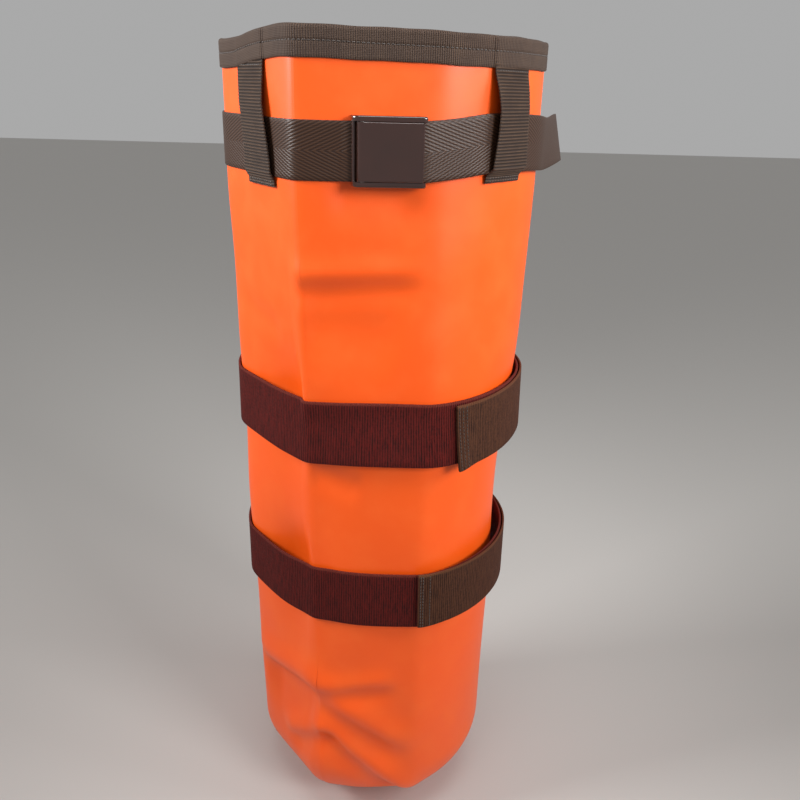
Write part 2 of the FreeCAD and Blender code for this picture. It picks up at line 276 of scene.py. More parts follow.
def slab(name, surface, thickness, closed=False, relief=0, roundEdges=True, merged=False):
    # cloth or webbing of a thickness about its middle surface; relief is added to both faces
    normals = surfaceNormals(surface, closed)
    half = thickness / 2
    rise = normals * np.asarray(half + relief)[..., None]
    outer = surface + rise
    inner = surface - rise
    acrossSteps = np.linalg.norm(np.diff(surface, axis=1), axis=-1).mean(axis=0)
    acrossLength = np.concatenate([[0], np.cumsum(acrossSteps)])
    middle = surface[:, surface.shape[1] // 2]
    alongLength = lengthAlong(middle)
    if roundEdges:
        # two points round each long edge
        first = unit(surface[:, 0] - surface[:, 1])
        last = unit(surface[:, -1] - surface[:, -2])
        lean, stand = 0.85 * half, 0.55 * half
        edge = [
            surface[:, 0] + first * lean + normals[:, 0] * stand,
            surface[:, -1] + last * lean + normals[:, -1] * stand,
            surface[:, -1] + last * lean - normals[:, -1] * stand,
            surface[:, 0] + first * lean - normals[:, 0] * stand,
        ]
        edge = [line[:, None] for line in edge]
        points = np.concatenate([edge[0], outer, edge[1], edge[2], inner[:, ::-1], edge[3]], axis=1)
        start, end = acrossLength[:1] - lean, acrossLength[-1:] + lean
        across = np.concatenate([start, acrossLength, end, end, acrossLength[::-1], start, start])
    else:
        points = np.concatenate([outer, inner[:, ::-1]], axis=1)
        across = np.concatenate([acrossLength, acrossLength[::-1], acrossLength[:1]])
    if closed:
        gap = np.linalg.norm(middle[0] - middle[-1])
        alongLength = np.concatenate([alongLength, [alongLength[-1] + gap]])
    return meshPiece(name, points, pairs(alongLength[:, None], across), closed, merged)


def stitchPiece(name, rows, length, thickness):
    # separate stitches, each a small rounded bar that dips into the cloth at its two ends; a row gives
    # its stitches' middles, directions and normals
    centres, directions, normals = (np.concatenate(part) for part in zip(*rows))
    share = np.array([-0.5, -0.42, -0.22, 0.22, 0.42, 0.5])
    girth = np.array([0.15, 0.7, 1.0, 1.0, 0.7, 0.15]) * thickness / 2
    dip = -np.array([0.5, 0.3, 0.0, 0.0, 0.3, 0.5]) * thickness
    turn = np.arange(6) * math.pi / 3
    side = np.cross(normals, directions)
    spine = centres[:, None] + directions[:, None] * (share * length)[:, None]
    spine = spine + normals[:, None] * dip[:, None]
    around = side[:, None, None] * np.cos(turn)[:, None] + normals[:, None, None] * np.sin(turn)[:, None]
    points = spine[:, :, None] + around * girth[:, None, None]
    count, rings, sides = points.shape[:3]
    index = np.arange(count * rings * sides).reshape(count, rings, sides)
    wrapped = np.concatenate([index, index[..., :1]], axis=-1)
    quads = [wrapped[:, :-1, :-1], wrapped[:, 1:, :-1], wrapped[:, 1:, 1:], wrapped[:, :-1, 1:]]
    faces = np.stack(quads, axis=-1).reshape(-1, 4).tolist()
    faces += index[:, 0].tolist()
    faces += index[:, -1, ::-1].tolist()
    mesh = bpy.data.meshes.new(name)
    mesh.from_pydata((points.reshape(-1, 3) * mm).tolist(), [], faces)
    working = bmesh.new()
    working.from_mesh(mesh)
    bmesh.ops.recalc_face_normals(working, faces=working.faces)
    working.to_mesh(mesh)
    working.free()
    mesh.shade_smooth()
    return addObject(name, mesh)


def stitchesAlong(line, normals, spacing):
    # stitch middles, directions and normals at even steps along a line of points
    travelled = lengthAlong(line)
    count = max(2, int(travelled[-1] / spacing))
    wanted = (np.arange(count) + 0.5) * travelled[-1] / count
    centres = valuesAt(wanted, travelled, line)
    # each stitch lies along the line between two places 0.4 mm before and after its middle
    direction = valuesAt(wanted + 0.4, travelled, line) - valuesAt(wanted - 0.4, travelled, line)
    return centres, unit(direction), unit(valuesAt(wanted, travelled, normals))


def finishPiece(piece, material, body, slotName, *replaced):
    piece.data.materials.append(material)
    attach(piece, body)
    if replaced:
        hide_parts(*replaced)
    return piece


# The sleeve's own form, which everything else is laid on.
sleeve = {
    "crease": -25,
    "creaseRounding": 1.9,  # degrees over which the crease turns
    "cornerBlend": 0.02,  # rounding where a facet meets the circle, as a share of the radius
    "wall": 1.2,
    "top": 708.2,
    "joint": 0.7,  # degrees from the crease to the joint between the two panels
    "columns": 121,
    "crowding": 0.6,  # how much closer together a panel's columns are by the creases
    "liftedFrom": (640, 690),  # heights between which the rim's lift fades in
    "flatRadius": 24,
    "cornerReach": 88,
    "cornerHeight": 72,
    # height, radius, sideways and backward lean of the section, facet's turn and share of the radius
    "stations": (
        (72, 112.0, -2, -8, 26, 0.935),
        (200, 113.4, -3, -8, 26, 0.935),
        (320, 115.4, -5, -6, 26, 0.935),
        (400, 118.0, -3, -4, 26, 0.935),
        (470, 122.4, -1, -2, 26, 0.935),
        (540, 124.4, 0, 0, 27, 0.946),
        (600, 125.3, 0, 0, 28, 0.957),
        (708.2, 125.5, 0, 0, 28, 0.957),
    ),
    # height, depth of the hollow left of the crease, and how far the crease itself is pressed back
    "hollows": (
        (0, 0, 7),
        (40, 0.5, 4),
        (90, 1.5, 3),
        (150, 4, 5),
        (242, 9, 8),
        (292, 15, 8.5),
        (330, 8, 7),
        (395, 7, 4.5),
        (447, 13.5, 3),
        (490, 6, 1.5),
        (560, 1.5, 0),
        (600, 0, 0),
        (708, 0, 0),
    ),
    # angle and how far the bound rim stands above or below its mean height
    "rimLift": ((-180, 0), (-90, -3.5), (-61, -5), (-46, -1), (-38, 0.4), (-20, 1.2), (2, 0), (25, -1.1),
                (54, -1.8), (100, -1), (180, 0)),
}
rimRadius = sleeve["stations"][-1][1]
rimTurn, rimShare = sleeve["stations"][-1][4:]
bodyTurn, bodyShare = sleeve["stations"][0][4:]
frontFacet = sleeve["crease"] + rimTurn
leftFacet = sleeve["crease"] - rimTurn
backFacet = sleeve["crease"] + 180 + rimTurn
keeperFacet = sleeve["crease"] + 180 + bodyTurn
facetDistance = rimShare * rimRadius


def sectionShape(angle, facetTurn, facetShare, rounding=sleeve["creaseRounding"]):
    # radius as a share of the circle's: by a crease the facet's line, share / cos(turn from its normal);
    # past the facet the lesser of that line and the circle, with the corner between them rounded
    away = np.abs((angle - sleeve["crease"] + 90) % 180 - 90)
    away = np.sqrt(away ** 2 + rounding ** 2)
    line = facetShare / np.cos(np.radians(away - facetTurn))
    lesser = (line + 1 - np.sqrt((line - 1) ** 2 + sleeve["cornerBlend"] ** 2)) / 2
    past = smoothStep(away, 12, facetTurn)
    return line * (1 - past) + lesser * past


def formAt(height):
    # radius, place of the section's middle, facet's turn and share at each height
    radius, side, back, turn, share = (smoothCurve(height, sleeve["stations"], i) for i in range(1, 6))
    corner = sleeve["cornerHeight"]
    down = np.clip((corner - height) / corner, 0, 1)
    foot = sleeve["flatRadius"] + sleeve["cornerReach"] * np.sqrt(1 - down ** 2)
    return np.where(height < corner, foot, radius), pairs(side, back), turn, share


def hollowAt(angle, height):
    # how far the cloth is drawn in: deepest 8 degrees left of the crease, sharp on the crease's side
    depth = smoothCurve(height, sleeve["hollows"])
    pressed = smoothCurve(height, sleeve["hollows"], 2)
    beside = withinHalfTurn(sleeve["crease"] - angle)
    shape = smoothStep(beside, 0.3, 7) * np.where(beside > 8, bell(beside, 8, 21), 1)
    return depth * shape + pressed * bell(beside, 0, 12) * (1 - shape)


def clothWaves(angle, height):
    # slow unevenness of hand-held cloth: a few long waves, still at the rim and the foot
    turn = np.radians(angle)
    wave = 0.8 * np.sin(2 * turn + height / 61 + 0.6)
    wave += 0.6 * np.sin(3 * turn - height / 43 + 2.1)
    wave += 0.35 * np.sin(7 * turn + height / 27)
    return wave * smoothStep(height, 60, 200) * (1 - smoothStep(height, 560, 650))


def sleeveReach(angle, height):
    # distance of the cloth's outer face from the section's own middle
    radius, _, turn, share = formAt(height)
    return radius * sectionShape(angle, turn, share) - hollowAt(angle, height) + clothWaves(angle, height)


def rimLift(angle, height):
    # how far the rim's unevenness lifts the cloth there
    return smoothCurve(withinHalfTurn(angle), sleeve["rimLift"]) * smoothStep(height, *sleeve["liftedFrom"])


def sleevePoint(angle, height):
    # point on the sleeve's outer face
    plan = outward(angle) * sleeveReach(angle, height)[..., None]
    return standing(plan + formAt(height)[1], height + rimLift(angle, height))


def clearOfSleeve(points, gap):
    # moves points straight out from the section's middle until they stand off the cloth by the gap
    fromMiddle = points[..., :2] - formAt(points[..., 2])[1]
    reach = sleeveReach(angleOf(fromMiddle), points[..., 2])
    short = reach + gap - np.linalg.norm(fromMiddle, axis=-1)
    push = (short + np.sqrt(short ** 2 + 0.3)) / 2
    moved = points.copy()
    moved[..., :2] += unit(fromMiddle) * push[..., None]
    return moved


# Creases in the cloth: where each starts and ends (angle, height), how wide it is, how far the cloth
# stands out, and how much further out its upper side is than its lower one.
folds = (
    # below the buckle, and across the front
    ((-12, 604), (10, 606), 16, -3.0, 0.0),
    ((-24, 541), (10, 545), 11, 0.0, 3.0),
    ((-22, 510), (4, 502), 28, -4.2, 0.0),
    ((14, 556), (40, 566), 24, 1.4, 0.0),
    # left facet, and below the upper strap
    ((-62, 512), (-43, 504), 14, -1.0, 0.9),
    ((-22, 386), (-6, 380), 13, -2.4, 1.2),
    # above the foot
    ((-66, 148), (-27, 160), 19, 0.0, 5.5),
    ((-64, 118), (-32, 124), 26, -6.5, 0.0),
    ((-22, 160), (8, 169), 12, 0.0, 2.8),
    ((-22, 146), (12, 100), 17, 0.0, 4.6),
    ((-46, 82), (-22, 110), 13, 0.0, 4.6),
    ((-20, 109), (18, 40), 14, 0.0, 5.8),
)


def foldRelief(points, normals):
    # sum over the creases of stand * exp(-d^2) + step * d * exp(-d^2), where d is the distance across
    # the crease in widths, faded towards its two ends
    relief = np.zeros(points.shape[:-1])
    for start, end, width, stand, step in folds:
        a = sleevePoint(*start)
        b = sleevePoint(*end)
        line = b - a
        share = np.clip(((points - a) @ line) / (line @ line), -0.3, 1.3)
        gap = points - a - share[..., None] * line
        across = unit(np.cross(normals, unit(line)))
        side = np.sum(gap * across, axis=-1)
        distance = np.linalg.norm(gap, axis=-1) / width
        fade = smoothStep(share, -0.3, 0.12) * (1 - smoothStep(share, 0.88, 1.3))
        bump = np.exp(-distance ** 2) * fade
        upper = np.where(across[..., 2] > 0, 1, -1) * side / width
        relief += bump * (stand + step * upper * 2)
    return relief


def panelSurface(angle):
    # grid of the sleeve's outer face: one row per angle, columns from the middle of the foot out along
    # the floor, round the corner and up the wall; an angle may also vary along its row
    radius, height, slope = sleeveLine()
    _, middle, facetTurn, share = formAt(height)
    reach = radius * sectionShape(angle, facetTurn, share)
    moved = (clothWaves(angle, height) - hollowAt(angle, height)) * slope
    plan = outward(angle) * (reach + moved)[..., None] + middle
    points = standing(plan, height + rimLift(angle, height))
    normals = surfaceNormals(points)
    relief = foldRelief(points, normals) * smoothStep(radius + height, sleeve["flatRadius"], 90)
    points = points + normals * relief[..., None]
    points[..., 2] = np.maximum(points[..., 2], 0.0)
    return points


def sleeveLine():
    # radius, height and how upright the cloth is, from the middle of the foot to the rim
    floorSteps, cornerSteps, wallSteps = 12, 45, 173
    turn = np.linspace(math.pi / 2, 0, cornerSteps + 1)[1:]
    wall = np.linspace(sleeve["cornerHeight"], sleeve["top"], wallSteps + 1)[1:]
    floor = np.linspace(0, sleeve["flatRadius"], floorSteps)
    corner = sleeve["flatRadius"] + sleeve["cornerReach"] * np.cos(turn)
    radius = np.concatenate([floor, corner, formAt(wall)[0]])
    height = np.concatenate([np.zeros(floorSteps), sleeve["cornerHeight"] * (1 - np.sin(turn)), wall])
    slope = np.concatenate([np.zeros(floorSteps), np.cos(turn), np.ones(wallSteps)])
    return radius, height, slope


def makePanel(name, start, material, node):
    # columns crowd together towards the creases
    share = np.linspace(0, 1, sleeve["columns"])
    share = share - sleeve["crowding"] * np.sin(2 * np.pi * share) / (2 * np.pi)
    angle = start + sleeve["joint"] + 180 * share
    outer = panelSurface(angle[:, None])
    middle = outer - surfaceNormals(outer) * (sleeve["wall"] / 2)
    middle[..., 2] = np.maximum(middle[..., 2], sleeve["wall"] / 2)
    panel = slab(name, middle, sleeve["wall"], roundEdges=False, merged=True)
    finishPiece(panel, material, "root", "coated_fabric", node)


def coatedFabric():
    # PVC-coated polyester, calendered: an even semi-matt orange with a faint cloth grain under the coat
    # and a soft sheen that spreads each light into a wide glow
    material, tree, shader = startMaterial("pvcCoatedFabric", IOR=1.46, Coat_Weight=0.08, Coat_Roughness=0.35)
    place = objectPlace(tree)
    mottle = noise(tree, place, 9.0, 3.0)
    scuff = noise(tree, place, 38.0, 5.0)
    tone = blendColours(tree, mottle, "#F05206", "#F65C0C")
    rubbed = combine(tree, "SMOOTH_MIN", combine(tree, "SUBTRACT", scuff, 0.45), 0.3, 0.1)
    paint(tree, shader, rubbed, tone, "#F96A22")
    gloss = combine(tree, "MULTIPLY_ADD", scuff, 0.16, 0.38)
    tree.links.new(gloss, shader.inputs["Roughness"])
    _, along, across = stripPlace(tree)
    # scrim threads 1.4 mm apart, coarser than the real 1 mm so that they show
    scrim = combine(tree, "ADD", ribWave(tree, along, 1.4), ribWave(tree, across, 1.4))
    peel = noise(tree, place, 260.0, 2.0)
    grain = combine(tree, "MULTIPLY_ADD", peel, 1.2, scrim)
    addBump(tree, shader, grain, 0.10, 0.12)
    return material


def ribbedWebbing(name, colour, highlight, ribSpacing, ribDepth):
    # woven nylon webbing: matt, with the weft cords showing as ribs and small glints on their crowns
    material, tree, shader = startMaterial(name, Roughness=0.7, IOR=1.34, Sheen_Weight=0.04,
                                           Sheen_Roughness=0.4)
    place, along, across = stripPlace(tree)
    ribs = ribWave(tree, along, ribSpacing)
    # threads 1 mm apart across the ribs, coarser than the real 0.5 mm
    threads = ribWave(tree, across, 1.0)
    fibres = noise(tree, place, 900.0, 3.0)
    # painted highlight: the rib crowns are painted lighter in the colour, more strongly in some patches than
    # in others
    glintPatches = noise(tree, place, 60.0, 4.0)
    crown = combine(tree, "MULTIPLY", ribs, combine(tree, "MULTIPLY_ADD", glintPatches, 0.9, 0.1))
    paint(tree, shader, crown, colour, highlight)
    weave = combine(tree, "MULTIPLY_ADD", threads, 0.35, ribs)
    grain = combine(tree, "MULTIPLY_ADD", fibres, 0.5, weave)
    addBump(tree, shader, grain, 0.8, ribDepth)
    return material


def twillWebbing():
    # belt webbing woven as a herringbone: fine slanting lines that meet along the middle as arrows,
    # catching the light on one half more than on the other
    material, tree, shader = startMaterial("herringboneBelt", Roughness=0.48, IOR=1.4, Sheen_Weight=0.02,
                                           Sheen_Roughness=0.3)
    place, along, across = stripPlace(tree)
    halfWidth = 19 * mm
    slant = math.tan(math.radians(24))
    fromMiddle = combine(tree, "ABSOLUTE", combine(tree, "SUBTRACT", across, halfWidth), 0.0)
    phase = combine(tree, "MULTIPLY_ADD", along, slant, fromMiddle)
    lines = ribWave(tree, phase, 2.3)
    warp = ribWave(tree, across, 1.25)
    fibres = noise(tree, place, 800.0, 3.0)
    height = combine(tree, "MULTIPLY_ADD", warp, 0.3, lines)
    height = combine(tree, "MULTIPLY_ADD", fibres, 0.4, height)
    paint(tree, shader, lines, "#26130A", "#402818")
    addBump(tree, shader, height, 0.7, 0.25)
    return material


def elasticBand(name, ground, nap, hemAndHighlightTone, streakDepth):
    # looped-pile elastic: dark soft pile in upright streaks, and a narrow top edge painted lighter, partly
    # the hem's tone and partly a painted highlight
    material, tree, shader = startMaterial(name, Roughness=0.9, IOR=1.3, Sheen_Weight=0.12,
                                           Sheen_Roughness=0.5, Sheen_Tint=linearColour("#A03228"))
    place, along, across = stripPlace(tree)
    stretched = addNode(tree, "Mapping", {"Vector": place, "Scale": (1.0, 0.12, 1.0)})
    streaks = noise(tree, stretched.outputs["Vector"], 700.0, 3.0)
    pile = noise(tree, place, 500.0, 4.0)
    rows = ribWave(tree, along, 2.0)
    tuft = combine(tree, "MULTIPLY_ADD", pile, 0.7, streaks)
    tuft = combine(tree, "MULTIPLY_ADD", rows, 0.45, tuft)
    share = combine(tree, "MULTIPLY_ADD", tuft, 1.9, -1.45)
    clamped = addNode(tree, "Clamp", {"Value": share}).outputs[0]
    body = blendColours(tree, clamped, ground, nap)
    # painted highlight along the top edge, mixed with the hem's own lighter tone
    edge = {"Value": across, "From Min": 48.9 * mm, "From Max": 49.3 * mm}
    paint(tree, shader, addNode(tree, "MapRange", edge).outputs[0], body, hemAndHighlightTone)
    addBump(tree, shader, tuft, 0.9, streakDepth)
    return material


def hookField():
    # moulded nylon hooks: a dense field of tiny stiff points on a dull ground
    material, tree, shader = startMaterial("nylonHooks", Roughness=0.5, IOR=1.5)
    place, _, _ = stripPlace(tree)
    # hooks 1.4 mm apart, about as coarse as the real ones
    cells = addNode(tree, "TexVoronoi", {"Vector": place, "Scale": 720.0, "Randomness": 0.35})
    point = addNode(tree, "MapRange", {"Value": cells.outputs["Distance"], "From Min": 0.1, "From Max": 0.5,
                                       "To Min": 1.0, "To Max": 0.0}).outputs[0]
    paint(tree, shader, point, "#16110F", "#3B322E")
    addBump(tree, shader, point, 1.0, 0.5)
    return material


def sewingThread():
    # bonded polyester thread: dark, with the ply's twist as fine slanting glints
    material, tree, shader = startMaterial("polyesterThread", Roughness=0.45, IOR=1.5, Sheen_Weight=0.2)
    place = objectPlace(tree)
    ply = noise(tree, place, 1500.0, 2.0)
    paint(tree, shader, ply, "#171210", "#4A3D36")
    addBump(tree, shader, ply, 0.6, 0.1)
    return material


def mouldedBuckle():
    # glossy moulded acetal, black with a warm cast, and faint flow marks and fine handling scratches
    material, tree, shader = startMaterial("mouldedAcetal", IOR=1.5, Coat_Weight=1.0, Coat_Roughness=0.05)
    place = objectPlace(tree)
    flow = noise(tree, place, 45.0, 3.0)
    stretched = addNode(tree, "Mapping", {"Vector": place, "Scale": (60.0, 60.0, 900.0)})
    scratches = noise(tree, stretched.outputs["Vector"], 1.5, 4.0)
    paint(tree, shader, flow, "#26100A", "#33160D")
    gloss = combine(tree, "MULTIPLY_ADD", scratches, 0.14, 0.1)
    tree.links.new(gloss, shader.inputs["Roughness"])
    addBump(tree, shader, combine(tree, "ADD", flow, scratches), 0.12, 0.1)
    return material


def pinSteel():
    # plated steel rod: bright, with drawn lines round it
    material, tree, shader = startMaterial("platedSteel", Metallic=1.0, Roughness=0.32)
    place = objectPlace(tree)
    drawn = noise(tree, place, 700.0, 2.0)
    paint(tree, shader, drawn, "#8E8A86", "#B9B5B0")
    addBump(tree, shader, drawn, 0.2, 0.05)
    return material


def weldedTape():
    # thin orange film welded over the joint inside: smoother and a little glossier than the cloth
    material, tree, shader = startMaterial("weldedTape", Roughness=0.3, IOR=1.5)
    place, _, across = stripPlace(tree)
    press = ribWave(tree, across, 2.5)
    uneven = noise(tree, place, 120.0, 3.0)
    paint(tree, shader, uneven, "#E04A14", "#EE5D22")
    addBump(tree, shader, combine(tree, "ADD", press, uneven), 0.25, 0.15)
    return material


print("materials")
orangeCloth = coatedFabric()
bindingWebbing = ribbedWebbing("nylonBinding", "#2E201A", "#5C4737", 1.5, 0.35)
loopWebbing = ribbedWebbing("nylonLoop", "#201511", "#58412F", 2.2, 0.15)
beltWebbing = twillWebbing()
strapElastic = elasticBand("pileElastic", "#210302", "#56100B", "#5A2018", 0.9)
tabElastic = elasticBand("loopTape", "#21100A", "#4A2C1B", "#53321F", 0.6)
hooks = hookField()
thread = sewingThread()
acetal = mouldedBuckle()
steel = pinSteel()
tapeFilm = weldedTape()

print("panels")
makePanel("frontPanel", sleeve["crease"], orangeCloth, "front_panel")
makePanel("rearPanel", sleeve["crease"] + 180, orangeCloth, "rear_panel")


seamTape = {
    "halfWidth": 10,
    "thickness": 0.8,
    "underCloth": 0.6,  # from the cloth's inner face to the middle of the tape
    "narrowBelow": 30,  # radius under which the tape narrows towards the middle of the foot
    "footGap": 8,
    "top": 689,
}


def makeTape(name, crease, *replaced):
    # follows the inside of a crease from near the middle of the foot up to the binding
    radius, height, _ = sleeveLine()
    spread = np.linspace(-seamTape["halfWidth"], seamTape["halfWidth"], 13)
    angle = crease + np.degrees(spread[:, None] / np.maximum(radius, seamTape["narrowBelow"]))
    outer = panelSurface(angle)
    inset = sleeve["wall"] + seamTape["underCloth"]
    inside = outer - surfaceNormals(outer) * inset
    inside[..., 2] = np.maximum(inside[..., 2], inset)
    kept = (height < seamTape["top"]) & (radius > seamTape["footGap"])
    surface = inside[:, kept].transpose(1, 0, 2)[:, ::-1]
    tape = slab(name, surface, seamTape["thickness"])
    finishPiece(tape, tapeFilm, "root", "seam_tape", *replaced)


print("seam tape")
makeTape("seamTapeFront", sleeve["crease"], "inner_seam_tape")
makeTape("seamTapeBack", sleeve["crease"] + 180)

binding = {
    "top": 710,
    "height": 20,
    "thickness": 1.5,
    "clearance": 0.25,
    "crown": 2.4,  # height of the rounded fold
    "bevel": 0.35,
    "seam": 700.2,  # height of the row of stitches
    "overLoop": 1.5,  # how far the binding stands out over a loop's sewn top
    "groove": 0.45,
    "skin": 0.9,  # depth of the section that counts as one of its two faces
    "stitchPitch": 3.2,
}
loops = {
    # facet or angle that the loop faces, its distance, sideways place at top and foot, foot's height,
    # how far it stands out over the belt, and how far its face is turned at mid-height
    "Left": dict(facing=leftFacet, distance=facetDistance, top=10, foot=21, low=607, out=4.6, yaw=4),
    "Right": dict(facing=46.5, distance=rimRadius, top=-0.5, foot=-3, low=613, out=7.3, yaw=-7),
    "Back": dict(facing=backFacet, distance=facetDistance, top=0, foot=0, low=604.5, out=4.4, yaw=0),
}
loopTape = {
    "width": 38,
    "thickness": 1.5,
    "top": 702,
    "ribSpacing": 2.2,
    "ribDepth": 0.4,
    "stitchHeights": (1.6, 3.6),  # above the foot
    "topStitches": 686.5,
}


def loopAngle(loop):
    return loop["facing"] + math.degrees(math.atan2(loop["top"], loop["distance"]))


def bindingOffset(angle):
    # how far the binding is pushed out by the loops sewn beneath it
    push = np.zeros(np.shape(angle))
    for loop in loops.values():
        away = np.abs(withinHalfTurn(angle - loopAngle(loop)))
        push += 1 - smoothStep(away, 8.2, 10.0)
    return push * binding["overLoop"]


def rimPoint(angle, offset, height):
    # point beside the rim: offset outwards from the cloth's outer face, with the rim's own lift
    shape = rimRadius * sectionShape(angle, rimTurn, rimShare)
    plan = outward(angle) * (shape + offset)[..., None]
    return standing(plan, height + rimLift(angle, height))


def bindingFaces():
    # offsets of the binding's outer and inner face from the cloth's outer face
    outer = binding["clearance"] + binding["thickness"]
    return outer, -sleeve["wall"] - outer


def bindingSection():
    # offset and height of the folded webbing's section: up the outer face, over the crown, down the inner
    # face and round the slot that holds the cloth's edge
    low = binding["top"] - binding["height"]
    seam = binding["seam"]
    bevel = binding["bevel"]
    outerFace, innerFace = bindingFaces()
    turn = np.linspace(0, math.pi, 7)
    half = (outerFace - innerFace) / 2
    middle = (outerFace + innerFace) / 2
    crownHeight = binding["top"] - binding["crown"] + binding["crown"] * np.sin(turn)
    crown = pairs(middle + half * np.cos(turn), crownHeight)
    # heights crowd together at the seam's groove
    below = np.linspace(low + 0.5, seam - 2, 5)
    grooved = np.linspace(seam - 1.4, seam + 1.4, 7)
    above = np.linspace(seam + 2.2, binding["top"] - 3, 4)
    faceHeights = np.concatenate([below, grooved, above])
    outerLeg = pairs(outerFace, faceHeights)
    innerLeg = pairs(innerFace, faceHeights[::-1])
    slotOuter = binding["clearance"]
    slotInner = -sleeve["wall"] - binding["clearance"]
    slotTop = sleeve["top"] + 0.1
    slot = [
        (innerFace + bevel, low), (slotInner - bevel, low), (slotInner, low + 0.5), (slotInner, slotTop),
        (slotOuter, slotTop), (slotOuter, low + 0.5), (slotOuter + bevel, low), (outerFace - bevel, low),
    ]
    return np.concatenate([outerLeg, crown, innerLeg, slot])


def makeBinding():
    section = bindingSection()
    outerFace, innerFace = bindingFaces()
    angle = np.linspace(-180, 180, 901)[:-1]
    groove = binding["groove"] * bell(section[:, 1], binding["seam"], 0.9)
    onOuter = (section[:, 0] > outerFace - binding["skin"]).astype(float)
    onInner = (section[:, 0] < innerFace + binding["skin"]).astype(float)
    offset = section[:, 0] - groove * onOuter + groove * onInner
    push = bindingOffset(angle)[:, None] * onOuter
    # the folded edge wanders a little, as sewn webbing does
    turn = np.radians(angle)[:, None]
    wander = 0.25 * np.sin(9 * turn) + 0.15 * np.sin(23 * turn + 1)
    points = rimPoint(angle[:, None], offset + push, section[:, 1] + wander)
    around = lengthAlong(np.vstack([section, section[:1]]))
    travelled = np.append(np.radians(angle + 180), 2 * math.pi) * rimRadius
    piece = meshPiece("rimBinding", points, pairs(travelled[:, None], around), closedRows=True)
    finishPiece(piece, bindingWebbing, "root", "binding_webbing", "rim_binding")


def makeRimStitches():
    angle = np.linspace(-180, 180, 1441)
    outerFace, innerFace = bindingFaces()
    depth = binding["groove"] - 0.25
    rows = []
    for side, offset in ((1, outerFace - depth + bindingOffset(angle)), (-1, innerFace + depth)):
        line = rimPoint(angle, offset, binding["seam"])
        rows.append(stitchesAlong(line, standing(outward(angle) * side, 0), binding["stitchPitch"]))
    piece = stitchPiece("rimBindingStitches", rows, length=2.5, thickness=0.75)
    finishPiece(piece, thread, "root", "thread", "rim_binding_stitches")


def loopSurface(loop):
    # middle of the webbing: from its sewn top under the binding, out over the belt, back to the foot
    top, low, out = loopTape["top"], loop["low"], loop["out"]
    # distance from the sleeve's facet, and height
    profile = [
        (1.25, top), (1.25, 690), (1.6, 684), (out * 0.62, 674), (out * 0.95, 662), (out, 648), (out, 626),
        (out, low + 10), (2.6, low + 6), (1.3, low + 4.5), (1.15, low),
    ]
    profile = softened(evenly(profile, 0.3), 14)
    share = (top - profile[:, 1]) / (top - low)
    arch = np.sin(np.pi * np.clip(share, 0, 1))[:, None]
    halfWidth = loopTape["width"] / 2
    across = np.linspace(-halfWidth, halfWidth, 21)
    shift = loop["top"] + (loop["foot"] - loop["top"]) * smoothStep(share, 0.1, 0.9)
    yaw = np.radians(loop["yaw"]) * arch ** 2
    normal, tangent = outward(loop["facing"]), sideways(loop["facing"])
    # the strip cups slightly across its width
    cup = 0.5 * (1 - (across / halfWidth) ** 2) * arch
    out = loop["distance"] + profile[:, :1] + np.sin(yaw) * across + cup
    side = shift[:, None] + np.cos(yaw) * across
    if loop["distance"] == rimRadius:
        # on the round part the sewn ends lie along the circle
        out = out - (1 - arch ** 0.5) * across ** 2 / (2 * rimRadius)
    plan = normal * out[..., None] + tangent * side[..., None]
    return standing(plan, profile[:, 1:]), profile


def makeLoop(name, loop, node):
    surface, profile = loopSurface(loop)
    turns = lengthAlong(surface[:, 10]) / loopTape["ribSpacing"]
    ribs = loopTape["ribDepth"] * np.sin(2 * math.pi * turns)
    # the ribs flatten to half their depth at the selvedges
    edge = 1 - np.abs(np.linspace(-1, 1, surface.shape[1])) ** 10 * 0.5
    piece = slab("beltLoop" + name, surface, loopTape["thickness"], relief=ribs[:, None] * edge)
    finishPiece(piece, loopWebbing, "root", "loop_webbing", node)
    normals = surfaceNormals(surface)
    rows = []
    for height in (*(loop["low"] + up for up in loopTape["stitchHeights"]), loopTape["topStitches"]):
        row = int(np.argmin(np.abs(profile[:, 1] - height)))
        face = surface[row] + normals[row] * (loopTape["thickness"] / 2 + 0.3)
        rows.append(stitchesAlong(face[1:-1], normals[row][1:-1], 2.8))
    return rows


def makeLoops():
    rows = []
    for name, loop in loops.items():
        rows += makeLoop(name, loop, "belt_loop_" + name.lower())
    piece = stitchPiece("beltLoopStitches", rows, length=2.3, thickness=0.75)
    finishPiece(piece, thread, "root", "thread", "belt_loop_bartacks")


belt = {
    "low": 615,
    "width": 38,
    "thickness": 1.5,
    "centre": 1.1,
    "foldedEnd": 2.7,
    "tail": 4.6,
    "foldedEndAngle": 50,
    "layersStart": 30,
    "leaveAngle": 75,
    "freeLength": 100,
    "rounding": 2.0,  # degrees over which the belt turns at the crease
    "pointSpacing": 0.9,
    "endSwing": 7.5,  # how far the tail's lower edge swings out at its end
    "endReach": 7,
    "endLift": 2.5,
    "stitchInset": 4.5,
    # angle and how far the belt rides above its mean height
    "lift": ((-180, 0), (-67, 0.3), (-26, -0.3), (-12, -0.4), (0, 0), (14, 0.2), (24, 2.2), (36, 5.4),
             (60, 4.6), (80, 1.5), (110, 0), (180, 0)),
}
# Places in the buckle's frame: along the front facet, and out of it.
buckle = {
    "anchor": (21, 3.9),
    "anchorWrap": 2.25,  # radius of the webbing's middle round the anchor bar
    "innerStart": 27.2,  # where the belt's inner layer leaves the buckle on its right
    "leverSide": -30.7,  # where the belt comes in from its left
}


def onFront(places):
    # plan points from places in the buckle's frame
    places = np.asarray(places, float)
    return outward(frontFacet) * (facetDistance + places[:, 1:]) + sideways(frontFacet) * places[:, :1]


def angleOnFront(along):
    return frontFacet + math.degrees(math.atan2(along, facetDistance))


